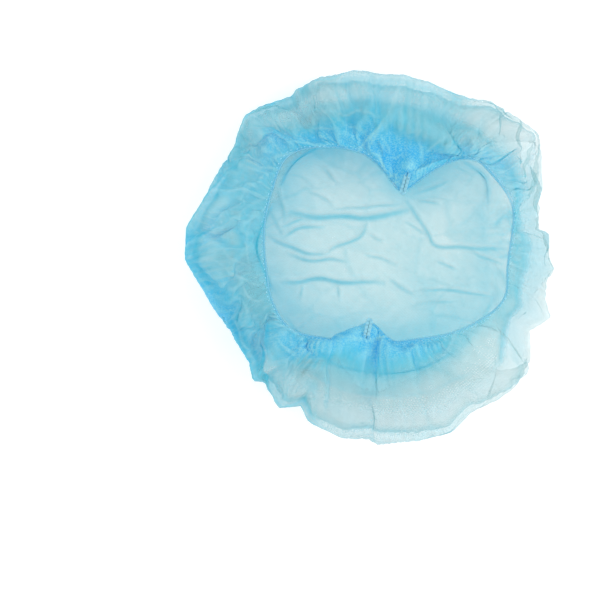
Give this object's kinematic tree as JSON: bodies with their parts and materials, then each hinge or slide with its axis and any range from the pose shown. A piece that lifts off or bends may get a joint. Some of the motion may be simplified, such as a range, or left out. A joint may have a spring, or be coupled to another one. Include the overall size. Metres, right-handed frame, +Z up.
{
  "type": "disposable hairnet",
  "caption": "Opened disposable bouffant clip cap of thin nonwoven cloth, lying crown down, with a puffed wall, elasticated opening and folded end welds.",
  "frame": {"origin": "on the table, under the middle of the cap's outline as seen from above", "axes": "+Z up, out of the opening; +Y towards the back end weld; the crown rests on the plane z = 0"},
  "size_m": [0.249, 0.2538, 0.0621],
  "materials": {
    "nonwoven_cloth": "matte translucent spunbond cloth, pale cyan in one layer and deeper blue where it overlaps",
    "elastic_thread": "matte pale cyan thread",
    "pressed_cloth": "cloth pressed together in many layers, satin, with a row of sunken dashes"
  },
  "bodies": {
    "root": {"cap_body": "nonwoven_cloth", "elastic_left": "elastic_thread", "elastic_right": "elastic_thread", "end_weld_back": "pressed_cloth", "end_weld_front": "pressed_cloth"}
  },
  "joints": []
}
